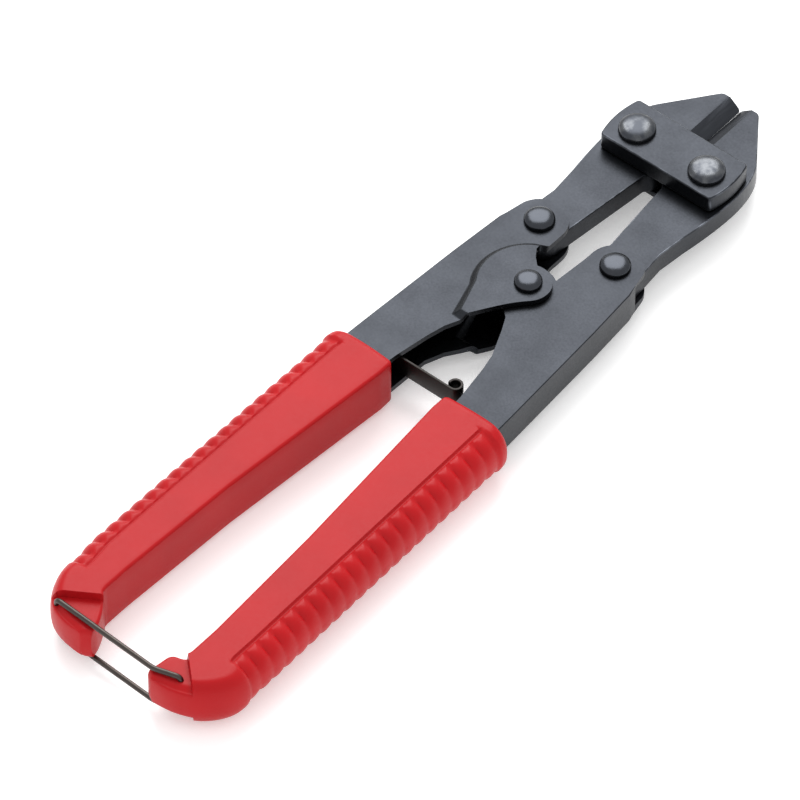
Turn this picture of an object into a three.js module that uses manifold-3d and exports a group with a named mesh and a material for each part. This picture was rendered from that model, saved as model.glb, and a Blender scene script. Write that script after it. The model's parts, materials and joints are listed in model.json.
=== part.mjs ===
// Small compound-lever bolt cutters, closed, with the tail latch hooked over.
// Millimetres. +X to the right-hand handle, +Y to the jaws, +Z up.
// The origin is under the middle of the tool, on the plane that it lies on.
import * as THREE from 'three';
import { mergeVertices } from 'three/addons/utils/BufferGeometryUtils.js';
import Module from 'manifold-3d';

const wasm = await Module();
wasm.setup();

// ---- Driving dimensions -------------------------------------------------------------------
// Plan positions are in the tool's own axes: the link rivets lie on y = 0 and x = 0 is the
// centre line. Heights are measured from the middle plane of the jaws.
const OVERALL_FRONT = 55.4;          // y of the jaw tips
const OVERALL_REAR = -148.36;        // y of the back of the latch wire
const JAW_PIVOT = new THREE.Vector2(9.5, 31.6);
const LINK_PIVOT = new THREE.Vector2(10.35, 0);
const CENTRE_PIVOT = new THREE.Vector2(0, -16.3);
const LATCH_PIVOT = new THREE.Vector2(15.0, -144.9);

const CLEARANCE = 0.2;               // between plates that slide on each other
const FIT_GAP = 0.3;                 // between a piece and the pocket that holds it
const JAW_HALF = 2.6;                // half the thickness of a jaw
const SHEET = 1.3;                   // thickness of the handle's sheet steel
const STRAP_THICKNESS = 4.2;
const GRIP_HALF = 6.1;               // half the thickness of a grip
const CHEEK_IN = JAW_HALF + CLEARANCE;
const CHEEK_OUT = CHEEK_IN + SHEET;
const TAB_IN = CHEEK_OUT + CLEARANCE;
const TAB_OUT = TAB_IN + SHEET;
const STRAP_OUT = CHEEK_IN + STRAP_THICKNESS;
const BACK_PLATE_OUT = CHEEK_IN + 1.5;  // the thin plate under the jaws

const STRAP_FRONT = 38.9;
const STRAP_REAR = 25.8;
const STRAP_CORNER_X = 14.9;
const STRAP_END_X = 15.9;
const BACK_PLATE_REAR = 26.8;
const BACK_PLATE_INSET = 1.3;        // how far the thin plate's ends stay inside the strap's

const BLADE_X = 0.15;                // half the gap between the closed cutting edges
const BEVEL_WIDTH = 3.2;
const BEVEL_BACK_Y = 35.0;
const JAW_TAIL_RADIUS = 5.2;

const EYE_RADIUS = 6.3;              // the handle's round end at the link rivet
const CENTRE_EYE_RADIUS = 6.2;       // right handle, at the centre rivet
const TAB_RADIUS = 5.2;              // left handle's raised tab, at the centre rivet
const TAB_STEP_RADIUS = 11.1;        // where that tab steps up out of the cheek
const TAB_STEP_END = new THREE.Vector2(6.1, -31.2);
const TAB_LAP = 1.2;                 // width of the step's wall
const WEB_FRONT_Y = -4.0;            // where the channel's outer wall begins
const HANDLE_END_Y = -122;           // end of the steel inside the grip

const GRIP_FRONT_Y = -51.0;
const GRIP_SIDE_X = 18.6;            // where a grip's top turns into its round outer side, at y = 0
const GRIP_SIDE_LEAN = 0.017;        // how fast that line leans outwards towards the tail
const GRIP_BULGE = 5.0;              // how far the round side stands out from that line
const RECESS_FLOOR = 4.2;            // height of the tail's recessed faces
const WIRE_RADIUS = 0.6;
const WIRE_Z = 5.1;                  // height of the latch wire's straight runs
const WIRE_BEND = new THREE.Vector2(9.4, -147.8);
const WIRE_HOOK = new THREE.Vector2(-17.9, -147.6);

const SPRING_THICKNESS = 0.6;
const SPRING_HALF = 2.5;
const SPRING_EYE = new THREE.Vector2(-15.9, -23.0);
const SPRING_CURL = new THREE.Vector2(4.9, -46.0);

const JAW_RIVET = { shank: 2.9, head: 4.1, rise: 2.0, base: STRAP_OUT, lowerBase: BACK_PLATE_OUT };
const LINK_RIVET = { shank: 2.2, head: 3.4, rise: 1.8, base: CHEEK_OUT, lowerBase: CHEEK_OUT };
const CENTRE_RIVET = { shank: 2.0, head: 3.05, rise: 1.7, base: TAB_OUT, lowerBase: TAB_OUT };
const HOLE_GAP = 0.3;                // radial room round a rivet that a piece turns on
const OPEN_PIVOT_GAP = 0.5;          // radial room at the centre rivet in the right handle
const SPACER_WALL = 1.2;

const ARC_STEPS = 6;
const ROUND_STEPS = 24;

// ---- Materials ----------------------------------------------------------------------------
const blackSteel = new THREE.MeshStandardMaterial({ color: 0x4b4e52, roughness: 0.42, metalness: 0.9 });
const wornSteel = new THREE.MeshStandardMaterial({ color: 0x63666a, roughness: 0.36, metalness: 0.95 });
const wireSteel = new THREE.MeshStandardMaterial({ color: 0x55504c, roughness: 0.35, metalness: 0.9 });
const springSteel = new THREE.MeshStandardMaterial({ color: 0x2c2a29, roughness: 0.45, metalness: 0.9 });
const redVinyl = new THREE.MeshStandardMaterial({ color: 0xc8252a, roughness: 0.35, metalness: 0.0 });

// ---- Solids -------------------------------------------------------------------------------
function solidOf(geometry) {
  const bare = new THREE.BufferGeometry();
  bare.setAttribute('position', geometry.getAttribute('position').clone());
  bare.setIndex(geometry.index ? geometry.index.clone() : null);
  const merged = mergeVertices(bare, 1e-4);
  return new wasm.Manifold(new wasm.Mesh({
    numProp: 3,
    vertProperties: merged.getAttribute('position').array,
    triVerts: Uint32Array.from(merged.index.array),
  }));
}

function geometryOf(manifold) {
  const mesh = manifold.getMesh();
  const geometry = new THREE.BufferGeometry();
  geometry.setAttribute('position', new THREE.BufferAttribute(mesh.vertProperties, 3));
  geometry.setIndex(new THREE.BufferAttribute(mesh.triVerts, 1));
  geometry.computeVertexNormals();
  return geometry;
}

function mirroredInX(geometry) {
  const copy = geometry.clone();
  copy.applyMatrix4(new THREE.Matrix4().makeScale(-1, 1, 1));
  const index = copy.index.array;
  for (let i = 0; i < index.length; i += 3) {
    [index[i], index[i + 1]] = [index[i + 1], index[i]];
  }
  copy.computeVertexNormals();
  return copy;
}

function plate(shape, low, high) {
  const geometry = new THREE.ExtrudeGeometry(shape, {
    depth: high - low, bevelEnabled: false, curveSegments: ARC_STEPS, steps: 1,
  });
  geometry.translate(0, 0, low);
  return solidOf(geometry);
}

function disc(centre, radius, low, high) {
  const shape = new THREE.Shape();
  shape.absarc(centre.x, centre.y, radius, 0, Math.PI * 2);
  const geometry = new THREE.ExtrudeGeometry(shape, {
    depth: high - low, bevelEnabled: false, curveSegments: ROUND_STEPS / 2, steps: 1,
  });
  geometry.translate(0, 0, low);
  return solidOf(geometry);
}

function outline(points) {
  return new THREE.Shape(points.map(([x, y]) => new THREE.Vector2(x, y)));
}

function bothFaces(shape, low, high) {
  return plate(shape, low, high).add(plate(shape, -high, -low));
}

function addMesh(name, geometry, material, parent) {
  const mesh = new THREE.Mesh(geometry, material);
  mesh.name = name;
  parent.add(mesh);
}

// ---- Straps and jaws ----------------------------------------------------------------------
function strapPlate(low, high, rear, inset) {
  const middle = (STRAP_FRONT + rear) / 2;
  const corner = STRAP_CORNER_X - inset;
  const bulge = 2 * (STRAP_END_X - inset) - corner;
  const shape = new THREE.Shape();
  shape.moveTo(-corner, rear);
  shape.lineTo(corner, rear);
  shape.quadraticCurveTo(bulge, middle, corner, STRAP_FRONT);
  shape.lineTo(-corner, STRAP_FRONT);
  shape.quadraticCurveTo(-bulge, middle, -corner, rear);
  const holeRadius = JAW_RIVET.shank + CLEARANCE;
  const left = new THREE.Vector2(-JAW_PIVOT.x, JAW_PIVOT.y);
  return plate(shape, low, high)
    .subtract(disc(JAW_PIVOT, holeRadius, low - 1, high + 1))
    .subtract(disc(left, holeRadius, low - 1, high + 1));
}

// What is ground away on one face to make the cutting edge.
function bevelWedge(side) {
  const length = 40;
  const section = outline([
    [BLADE_X, side * 0.12], [BEVEL_WIDTH, side * JAW_HALF], [BEVEL_WIDTH, side * 4],
    [-1, side * 4], [-1, side * 0.12],
  ]);
  const wedge = new THREE.ExtrudeGeometry(section, { depth: length, bevelEnabled: false });
  wedge.rotateX(Math.PI / 2);
  wedge.translate(0, BEVEL_BACK_Y + length, 0);
  return solidOf(wedge);
}

// The right-hand jaw. Behind its pivot the inner edge is an arc about the pivot, so that the
// two jaws roll past each other without touching.
function jaw() {
  const knuckle = JAW_PIVOT.x - BLADE_X;
  const shape = new THREE.Shape();
  shape.moveTo(BLADE_X, OVERALL_FRONT - 0.7);
  shape.quadraticCurveTo(0.2, OVERALL_FRONT, 0.9, OVERALL_FRONT);
  shape.lineTo(4.2, OVERALL_FRONT);
  shape.quadraticCurveTo(5.0, OVERALL_FRONT, 5.5, OVERALL_FRONT - 0.8);
  shape.lineTo(13.6, 43.8);
  shape.quadraticCurveTo(16.5, 39.8, 16.6, 32.0);
  shape.quadraticCurveTo(16.6, 25.5, 15.3, 17.0);
  shape.lineTo(14.6, 10.0);
  shape.lineTo(LINK_PIVOT.x + JAW_TAIL_RADIUS, 0.6);
  shape.absarc(LINK_PIVOT.x, LINK_PIVOT.y, JAW_TAIL_RADIUS, 0, -Math.PI, true);
  shape.lineTo(4.3, 8.0);
  shape.lineTo(2.6, 24.0);
  shape.absarc(JAW_PIVOT.x, JAW_PIVOT.y, knuckle, Math.PI * 1.235, Math.PI, true);
  return plate(shape, -JAW_HALF, JAW_HALF)
    .subtract(disc(JAW_PIVOT, JAW_RIVET.shank + HOLE_GAP, -9, 9))
    .subtract(disc(LINK_PIVOT, LINK_RIVET.shank + HOLE_GAP, -9, 9))
    .subtract(bevelWedge(1))
    .subtract(bevelWedge(-1));
}

// ---- Rivets -------------------------------------------------------------------------------
function rivet({ shank, head, rise, base, lowerBase }) {
  const end = (from) => {
    const profile = [new THREE.Vector2(0, from + rise)];
    const steps = 4;
    for (let i = 1; i <= steps; i += 1) {
      const turn = (i / steps) * Math.PI / 2;
      profile.push(new THREE.Vector2(head * Math.sin(turn), from + rise * Math.cos(turn)));
    }
    profile.push(new THREE.Vector2(shank, from));
    return profile;
  };
  const lower = end(lowerBase).map((point) => new THREE.Vector2(point.x, -point.y));
  const geometry = new THREE.LatheGeometry([...lower, ...end(base).reverse()], ROUND_STEPS);
  geometry.rotateX(Math.PI / 2);
  return geometry;
}

function tube(outer, inner, halfLength) {
  return new THREE.LatheGeometry([
    new THREE.Vector2(inner, -halfLength), new THREE.Vector2(outer, -halfLength),
    new THREE.Vector2(outer, halfLength), new THREE.Vector2(inner, halfLength),
    new THREE.Vector2(inner, -halfLength),
  ], ROUND_STEPS).rotateX(Math.PI / 2);
}

// ---- Handles ------------------------------------------------------------------------------
// Both are drawn right-handed: a channel of sheet steel, open towards the centre line, with its
// outer wall running back from WEB_FRONT_Y. The left one is mirrored when it is placed.
const WEB_LINE = [[17.8, WEB_FRONT_Y], [18.9, -18], [20.6, -46], [21.0, -54], [21.8, HANDLE_END_Y]];
const MOUTH_LINE = [[13.9, HANDLE_END_Y], [10.0, -62], [8.9, -49], [7.5, -40.4], [6.5, -36]];

function outerSide(shape) {
  shape.absarc(LINK_PIVOT.x, LINK_PIVOT.y, EYE_RADIUS, Math.PI, -0.5, true);
  WEB_LINE.forEach(([x, y]) => shape.lineTo(x, y));
  MOUTH_LINE.forEach(([x, y]) => shape.lineTo(x, y));
}

function rightOutline() {
  const shape = new THREE.Shape();
  shape.moveTo(LINK_PIVOT.x - EYE_RADIUS, -2);
  shape.lineTo(LINK_PIVOT.x - EYE_RADIUS, 0);
  outerSide(shape);
  shape.lineTo(3.6, -29.4);
  shape.lineTo(1.8, -25.9);
  shape.absarc(
    CENTRE_PIVOT.x, CENTRE_PIVOT.y, CENTRE_EYE_RADIUS, -Math.PI * 0.7, -Math.PI * 1.68, true,
  );
  shape.lineTo(3.6, -7.8);
  return shape;
}

function leftOutline() {
  const shape = new THREE.Shape();
  shape.moveTo(LINK_PIVOT.x - EYE_RADIUS, -2);
  shape.lineTo(LINK_PIVOT.x - EYE_RADIUS, 0);
  outerSide(shape);
  shape.lineTo(4.5, -31.5);
  shape.lineTo(1.7, -27);
  shape.quadraticCurveTo(-1.0, -22.6, -3.7, -20);
  shape.absarc(CENTRE_PIVOT.x, CENTRE_PIVOT.y, TAB_RADIUS, -Math.PI * 0.75, -Math.PI * 1.6, true);
  shape.lineTo(3.5, -9.6);
  shape.lineTo(4.9, -7.6);
  shape.lineTo(4.9, -6.0);
  shape.lineTo(4.1, -5.4);
  return shape;
}

function channelInside() {
  const inner = WEB_LINE.map(([x, y]) => [x - SHEET, y]);
  return outline([[40, WEB_FRONT_Y], ...inner, [inner.at(-1)[0], HANDLE_END_Y - 5],
    [-20, HANDLE_END_Y - 5], [-20, 20], [40, 20]]);
}

function channel(shape, centreHole) {
  return plate(shape, -CHEEK_OUT, CHEEK_OUT)
    .subtract(plate(channelInside(), -CHEEK_IN, CHEEK_IN))
    .subtract(disc(LINK_PIVOT, LINK_RIVET.shank + CLEARANCE, -9, 9))
    .subtract(disc(CENTRE_PIVOT, centreHole, -9, 9));
}

// The part of the left cheek that is stepped out, with everything on its open side.
function steppedArea(lap) {
  const shape = new THREE.Shape();
  const radius = TAB_STEP_RADIUS + lap;
  shape.moveTo(-20, 10.3 + CENTRE_PIVOT.y + lap);
  shape.lineTo(3.9, 10.3 + CENTRE_PIVOT.y + lap);
  shape.absarc(CENTRE_PIVOT.x, CENTRE_PIVOT.y, radius, Math.PI * 0.37, -Math.PI * 0.2, true);
  shape.lineTo(TAB_STEP_END.x + lap, TAB_STEP_END.y - lap);
  shape.lineTo(-20, TAB_STEP_END.y - lap);
  return shape;
}

// The left handle's lower cheek reaches further over the mouth than the upper one.
function lowerLip(low, high) {
  return plate(outline([
    [10, -50.7], [7.4, -50.7], [7.3, -41.5], [5.6, -37.1], [3.6, -34.2], [0, -28.4],
    [-1.6, -24.5], [-3.4, -20.5], [3, -20], [9, -36],
  ]), low, high);
}

function rightHandle() {
  return channel(rightOutline(), CENTRE_RIVET.shank + OPEN_PIVOT_GAP);
}

function leftHandle() {
  const centreHole = CENTRE_RIVET.shank + CLEARANCE;
  const tabs = bothFaces(leftOutline(), CHEEK_OUT - 0.05, TAB_OUT)
    .add(lowerLip(-TAB_OUT, 0.05 - CHEEK_OUT))
    .intersect(plate(steppedArea(TAB_LAP), -9, 9));
  return channel(leftOutline(), centreHole)
    .add(lowerLip(-CHEEK_OUT, -CHEEK_IN))
    .add(tabs)
    .subtract(plate(steppedArea(0), -TAB_IN, TAB_IN))
    .subtract(disc(CENTRE_PIVOT, centreHole, -9, 9));
}

// ---- Grips --------------------------------------------------------------------------------
// The right-hand grip: a moulded sleeve round the channel, with a solid tail that hooks inward
// and is recessed on both faces for the latch wire. The left tail is shorter behind, with a lip
// that the wire hooks over.
const GRIP_INNER = [[12.4, -131], [10.7, -100], [7.1, -56]];

function gripOutline(isLeft) {
  const shape = new THREE.Shape();
  shape.moveTo(8.3, GRIP_FRONT_Y - 0.8);
  shape.quadraticCurveTo(15, GRIP_FRONT_Y + 0.8, 23.4, GRIP_FRONT_Y - 0.6);
  shape.quadraticCurveTo(24.8, GRIP_FRONT_Y - 1, 24.9, -54);
  shape.lineTo(26.2, -134);
  shape.bezierCurveTo(25.8, -141, 21.4, -145.6, 17.9, -146.8);
  if (isLeft) {
    shape.quadraticCurveTo(17.2, -147.1, 16.8, -148.3);
    shape.lineTo(15.8, -148.3);
    shape.lineTo(15.4, -147.4);
    shape.lineTo(10.4, -147.3);
  } else {
    shape.quadraticCurveTo(14.5, -148.7, 10.4, -148.1);
  }
  shape.quadraticCurveTo(8.6, -147.6, 9.0, -145.6);
  shape.quadraticCurveTo(9.4, -142.6, 12.4, -139);
  GRIP_INNER.forEach(([x, y]) => shape.lineTo(x, y));
  shape.quadraticCurveTo(6.9, GRIP_FRONT_Y - 1.6, 8.3, GRIP_FRONT_Y - 0.8);
  return shape;
}

// Everything inside the round outer side, which is half an ellipse in section.
function gripRounding() {
  const steps = 4;
  const side = [];
  for (let i = -steps; i <= steps; i += 1) {
    const turn = (i / steps) * Math.PI / 2;
    side.push([GRIP_SIDE_X + GRIP_BULGE * Math.cos(turn), GRIP_HALF * Math.sin(turn)]);
  }
  const inside = -20;
  const section = outline([[inside, -GRIP_HALF], ...side, [inside, GRIP_HALF]]);
  const length = 110;
  const geometry = new THREE.ExtrudeGeometry(section, { depth: length, bevelEnabled: false });
  geometry.rotateX(Math.PI / 2);
  geometry.translate(0, GRIP_FRONT_Y + 2, 0);
  geometry.applyMatrix4(new THREE.Matrix4().makeShear(0, 0, -GRIP_SIDE_LEAN, 0, 0, 0));
  return solidOf(geometry);
}

function gripPocket() {
  const outer = WEB_LINE.slice(2).map(([x, y]) => [x + FIT_GAP, y]);
  const inner = MOUTH_LINE.slice(0, 4).map(([x, y]) => [x - FIT_GAP, y]);
  outer.at(-1)[1] -= FIT_GAP;
  inner[0][1] -= FIT_GAP;
  return outline([...outer, ...inner]);
}

function grip(isLeft) {
  const recess = outline([
    [11.4, -139.2], [12.6, -140.8], [19.2, -146.9], [22, -150.5], [6, -150.5], [6, -139.2],
  ]);
  const body = plate(gripOutline(isLeft), -GRIP_HALF, GRIP_HALF)
    .intersect(gripRounding())
    .subtract(plate(gripPocket(), -CHEEK_OUT - FIT_GAP, CHEEK_OUT + FIT_GAP))
    .subtract(bothFaces(recess, RECESS_FLOOR, 9));
  if (isLeft) {
    return body;
  }
  const wireHole = WIRE_RADIUS + FIT_GAP;
  return body
    .subtract(disc(LATCH_PIVOT, wireHole, 0.6, 9))
    .subtract(disc(LATCH_PIVOT, wireHole, -9, -0.6));
}

// ---- Latch wire and return spring -----------------------------------------------------------
// A wire bail: its ends drop into the right tail above and below, and its closed end hooks
// behind the left tail.
function latchWire() {
  const corner = 0.9;
  const at = (plan, z) => new THREE.Vector3(plan.x, plan.y, z);
  const legEnd = 1.4;
  const corners = [
    at(LATCH_PIVOT, legEnd), at(LATCH_PIVOT, WIRE_Z), at(WIRE_BEND, WIRE_Z), at(WIRE_HOOK, WIRE_Z),
    at(WIRE_HOOK, -WIRE_Z), at(WIRE_BEND, -WIRE_Z), at(LATCH_PIVOT, -WIRE_Z), at(LATCH_PIVOT, -legEnd),
  ];
  const path = new THREE.CurvePath();
  let from = corners[0];
  for (let i = 1; i < corners.length - 1; i += 1) {
    const toward = (end) => corners[i].clone().add(end.clone().sub(corners[i]).setLength(corner));
    const before = toward(corners[i - 1]);
    const after = toward(corners[i + 1]);
    path.add(new THREE.LineCurve3(from, before));
    path.add(new THREE.QuadraticBezierCurve3(before, corners[i], after));
    from = after;
  }
  path.add(new THREE.LineCurve3(from, corners.at(-1)));
  const section = new THREE.Shape();
  section.absarc(0, 0, WIRE_RADIUS, 0, Math.PI * 2);
  return new THREE.ExtrudeGeometry(section, { extrudePath: path, steps: 96, curveSegments: 4 });
}

// A strip standing on edge: rolled end in the left channel, along the wall, then across to a
// curl in the mouth of the right channel.
function returnSpring() {
  const bend = 4.0;
  const eye = 1.3;
  const curl = 1.4;
  const path = new THREE.Path();
  path.absarc(SPRING_EYE.x, SPRING_EYE.y, eye, -Math.PI * 0.35, Math.PI * 1.03, false);
  const strip = { x: -17.5, y: SPRING_CURL.y - curl };   // along the wall, then across
  path.lineTo(strip.x, strip.y + bend + 0.6);
  path.absarc(strip.x + bend, strip.y + bend, bend, Math.PI, Math.PI * 1.5, false);
  path.lineTo(SPRING_CURL.x, strip.y);
  path.absarc(SPRING_CURL.x, SPRING_CURL.y, curl, -Math.PI * 0.5, Math.PI * 1.1, false);
  const points = path.getPoints(ARC_STEPS);
  const sides = [1, -1].map((side) => points.map((point, i) => {
    const before = points[Math.max(i - 1, 0)];
    const after = points[Math.min(i + 1, points.length - 1)];
    const along = after.clone().sub(before).normalize();
    const across = new THREE.Vector2(-along.y, along.x);
    return point.clone().addScaledVector(across, side * SPRING_THICKNESS / 2);
  }));
  const shape = new THREE.Shape([...sides[0], ...sides[1].reverse()]);
  return plate(shape, -SPRING_HALF, SPRING_HALF);
}

// ---- Assembly -----------------------------------------------------------------------------
const boltCutters = new THREE.Group();
const tool = new THREE.Group();
const restHeight = CENTRE_RIVET.lowerBase + CENTRE_RIVET.rise;
tool.position.set(0, -(OVERALL_FRONT + OVERALL_REAR) / 2, restHeight);
boltCutters.add(tool);

const strapTop = strapPlate(CHEEK_IN, STRAP_OUT, STRAP_REAR, 0);
const strapBottom = strapPlate(-BACK_PLATE_OUT, -CHEEK_IN, BACK_PLATE_REAR, BACK_PLATE_INSET);
addMesh('strap_plate_top', geometryOf(strapTop), blackSteel, tool);
addMesh('strap_plate_bottom', geometryOf(strapBottom), blackSteel, tool);

const sides = [
  { name: 'left', isLeft: true, handle: leftHandle(), place: mirroredInX },
  { name: 'right', isLeft: false, handle: rightHandle(), place: (geometry) => geometry },
];
for (const { name, isLeft, handle, place } of sides) {
  const rivetAt = (size, pivot) => rivet(size).translate(isLeft ? -pivot.x : pivot.x, pivot.y, 0);
  addMesh(`jaw_${name}`, place(geometryOf(jaw())), blackSteel, tool);
  addMesh(`jaw_rivet_${name}`, rivetAt(JAW_RIVET, JAW_PIVOT), wornSteel, tool);
  addMesh(`link_rivet_${name}`, rivetAt(LINK_RIVET, LINK_PIVOT), blackSteel, tool);
  addMesh(`handle_${name}`, place(geometryOf(handle)), blackSteel, tool);
  addMesh(`grip_${name}`, place(geometryOf(grip(isLeft))), redVinyl, tool);
}

const spacerBore = CENTRE_RIVET.shank + CLEARANCE;
const atCentre = (geometry) => geometry.translate(CENTRE_PIVOT.x, CENTRE_PIVOT.y, 0);
addMesh('centre_rivet', atCentre(rivet(CENTRE_RIVET)), blackSteel, tool);
addMesh('centre_spacer', atCentre(tube(spacerBore + SPACER_WALL, spacerBore, JAW_HALF)), blackSteel, tool);
addMesh('latch_wire', latchWire(), wireSteel, tool);
addMesh('return_spring', geometryOf(returnSpring()), springSteel, tool);

export default boltCutters;
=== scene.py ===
"""Pocket bolt cutters with red ribbed grips and a wire tail latch, finished for rendering.

The outlines are in millimetres in the tool's own axes: the link rivets lie on y = 0, x = 0 is
the centre line and z = 0 is the middle plane of the jaws. Pieces are drawn right-handed.
"""
import json
import math

import bmesh
import bpy
from bpy.props import FloatProperty, FloatVectorProperty, IntProperty, PointerProperty
from bpy.types import Operator, Panel, PropertyGroup
from mathutils import Matrix, Vector


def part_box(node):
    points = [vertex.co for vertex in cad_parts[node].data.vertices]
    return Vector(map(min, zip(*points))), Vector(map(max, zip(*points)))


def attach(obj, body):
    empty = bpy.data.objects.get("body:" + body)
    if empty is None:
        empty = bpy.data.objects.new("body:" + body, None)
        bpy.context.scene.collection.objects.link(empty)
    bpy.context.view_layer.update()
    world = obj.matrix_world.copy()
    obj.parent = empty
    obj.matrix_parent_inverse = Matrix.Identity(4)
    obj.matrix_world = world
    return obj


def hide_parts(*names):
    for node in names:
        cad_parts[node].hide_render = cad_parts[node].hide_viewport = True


bl_info = {
    "name": "Bolt Cutters",
    "version": (1, 0, 0),
    "blender": (4, 5, 0),
    "location": "3D View > Sidebar > Bolt Cutters",
    "description": "Builds pocket bolt cutters round their packed frame",
    "category": "Object",
}

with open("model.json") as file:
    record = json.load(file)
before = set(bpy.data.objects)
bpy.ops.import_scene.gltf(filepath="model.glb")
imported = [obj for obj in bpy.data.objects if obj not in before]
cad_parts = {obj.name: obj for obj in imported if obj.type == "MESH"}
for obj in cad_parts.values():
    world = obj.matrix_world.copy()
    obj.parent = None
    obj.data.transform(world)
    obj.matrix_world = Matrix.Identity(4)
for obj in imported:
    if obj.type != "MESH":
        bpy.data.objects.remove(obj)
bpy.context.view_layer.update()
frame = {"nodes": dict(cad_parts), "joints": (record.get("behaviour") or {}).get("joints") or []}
MM = 0.001


# ---- Places and sizes that come from the frame -------------------------------------------------
def node_centre(node):
    low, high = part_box(node)
    return (low + high) / 2


def node_size(node):
    low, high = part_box(node)
    return (high - low) / MM


LINK = node_centre("link_rivet_right")
TOOL = Matrix.Translation((0, LINK.y, LINK.z)) @ Matrix.Scale(MM, 4)


def in_tool(point):
    return TOOL.inverted() @ Vector(point)


JAW_PIVOT = in_tool(node_centre("jaw_rivet_right")).xy
LINK_PIVOT = in_tool(LINK).xy
CENTRE_PIVOT = in_tool(node_centre("centre_rivet")).xy
LATCH_PIVOT = in_tool(next(
    joint["pos_m"] for joint in frame["joints"] if joint["name"] == "latch_swing")).xy

JAW_HALF = node_size("jaw_right").z / 2
CHEEK_OUT = node_size("handle_right").z / 2
TAB_OUT = node_size("handle_left").z / 2
GRIP_HALF = node_size("grip_right").z / 2
STRAP_TOP = in_tool(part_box("strap_plate_top")[1]).z
STRAP_UNDER = in_tool(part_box("strap_plate_bottom")[0]).z
JAW_FRONT = in_tool(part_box("jaw_right")[1]).y
GRIP_OUTER = in_tool(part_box("grip_right")[1]).x
SHEET = 1.3                              # the handles' sheet steel
JAW_TAIL_RADIUS = 5.2
EYE_RADIUS = 6.3                         # a handle's round end at the link rivet
CENTRE_EYE_RADIUS = 6.2                  # right handle, at the centre rivet
TAB_RADIUS = 5.2                         # left handle's raised tab, at the centre rivet
STEP_RADIUS = 11.1                       # where that tab steps up out of the cheek
STEP_LAP = 1.2                           # width of the step's wall
STEP_END = (6.1, -31.2)
STEP_ROUNDING = 0.4
WIRE_Z = node_size("latch_wire").z / 2


# ---- Outlines ----------------------------------------------------------------------------------
def arc(centre, radius, start, end, steps):
    """Points on a circle, with the angles in turns of pi."""
    turns = [start + (end - start) * i / steps for i in range(steps + 1)]
    return [(centre[0] + radius * math.cos(turn * math.pi),
             centre[1] + radius * math.sin(turn * math.pi)) for turn in turns]


def curve(*controls, steps=8):
    """Points on a Bezier curve of any degree, without its first one."""
    points = []
    for i in range(1, steps + 1):
        layer = [Vector(control) for control in controls]
        while len(layer) > 1:
            layer = [a.lerp(b, i / steps) for a, b in zip(layer, layer[1:])]
        points.append(tuple(layer[0]))
    return points


def point_at(points, share):
    """The point at a share of a polyline's length."""
    lengths = [(Vector(b) - Vector(a)).length for a, b in zip(points, points[1:])]
    left = share * sum(lengths)
    for a, b, length in zip(points, points[1:], lengths):
        if left <= length:
            return Vector(a).lerp(Vector(b), left / length)
        left -= length
    return Vector(points[-1])


WEB_LINE = [(17.0, -1.4), (17.8, -4.3), (18.9, -18.0), (20.6, -46.0), (21.0, -54.0), (21.8, -122.0)]
MOUTH_LINE = [(13.9, -122.0), (10.0, -62.0), (8.9, -49.0), (7.5, -40.4), (6.5, -36.0)]
EYE_LINE = [(4.05, -2.0)] + arc(LINK_PIVOT, EYE_RADIUS, 1.0, 0.1, 20)
LIP_LINE = [(9.0, -53.2), (7.7, -52.8), (7.3, -41.5), (5.6, -37.1), (3.6, -34.2)]


# ---- Mesh helpers ------------------------------------------------------------------------------
def polygon(bm, points, z):
    return bm.faces.new([bm.verts.new((x, y, z)) for x, y in points])


def moved(bm, geometry, **shift):
    offset = Vector((shift.get("x", 0), shift.get("y", 0), shift.get("z", 0)))
    verts = [part for part in geometry if isinstance(part, bmesh.types.BMVert)]
    bmesh.ops.translate(bm, vec=offset, verts=verts)
    return verts


def rounded(bm, edges, width, segments=3):
    """Bevels the edges and returns the new faces."""
    made = bmesh.ops.bevel(
        bm, geom=list(edges), offset=width, offset_type="OFFSET", affect="EDGES",
        segments=segments, profile=0.5, material=-1, clamp_overlap=True,
    )
    return made["faces"]


def plate(points, low, high):
    """A closed slab of the outline, between two heights."""
    bm = bmesh.new()
    face = polygon(bm, points, low)
    made = bmesh.ops.extrude_face_region(bm, geom=[face])
    moved(bm, made["geom"], z=high - low)
    bmesh.ops.recalc_face_normals(bm, faces=bm.faces)
    return bm


def sharp_edges(bm, degrees=40):
    return [edge for edge in bm.edges
            if len(edge.link_faces) == 2 and edge.calc_face_angle() > math.radians(degrees)]


def mark(faces, index):
    for face in faces:
        face.material_index = index


def mirrored_in_x(bm):
    bmesh.ops.scale(bm, vec=(-1, 1, 1), verts=bm.verts)
    bmesh.ops.reverse_faces(bm, faces=bm.faces)


def placed(name, bm, materials, body, nodes, smooth=35, left=False):
    """Makes the object from a mesh in tool millimetres and binds it to the frame."""
    if left:
        mirrored_in_x(bm)
    bmesh.ops.transform(bm, matrix=TOOL, verts=bm.verts)
    mesh = bpy.data.meshes.new(name)
    bm.to_mesh(mesh)
    bm.free()
    for material in materials:
        mesh.materials.append(material)
    mesh.shade_smooth()
    mesh.set_sharp_from_angle(angle=math.radians(smooth))
    piece = bpy.data.objects.new(name, mesh)
    bpy.context.scene.collection.objects.link(piece)
    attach(piece, body)
    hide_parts(*nodes)
    return piece


def keep_faces_flat(piece):
    """Lets the bevels take the shading, so that the broad faces stay flat."""
    modifier = piece.modifiers.new("flat faces", "WEIGHTED_NORMAL")
    modifier.keep_sharp = True
    modifier.weight = 100


# ---- Materials ---------------------------------------------------------------------------------
def linear(text):
    """Linear colour of an sRGB hex value."""
    parts = [int(text[i:i + 2], 16) / 255 for i in (1, 3, 5)]
    return tuple(p / 12.92 if p <= 0.04045 else ((p + 0.055) / 1.055) ** 2.4 for p in parts)


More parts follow.
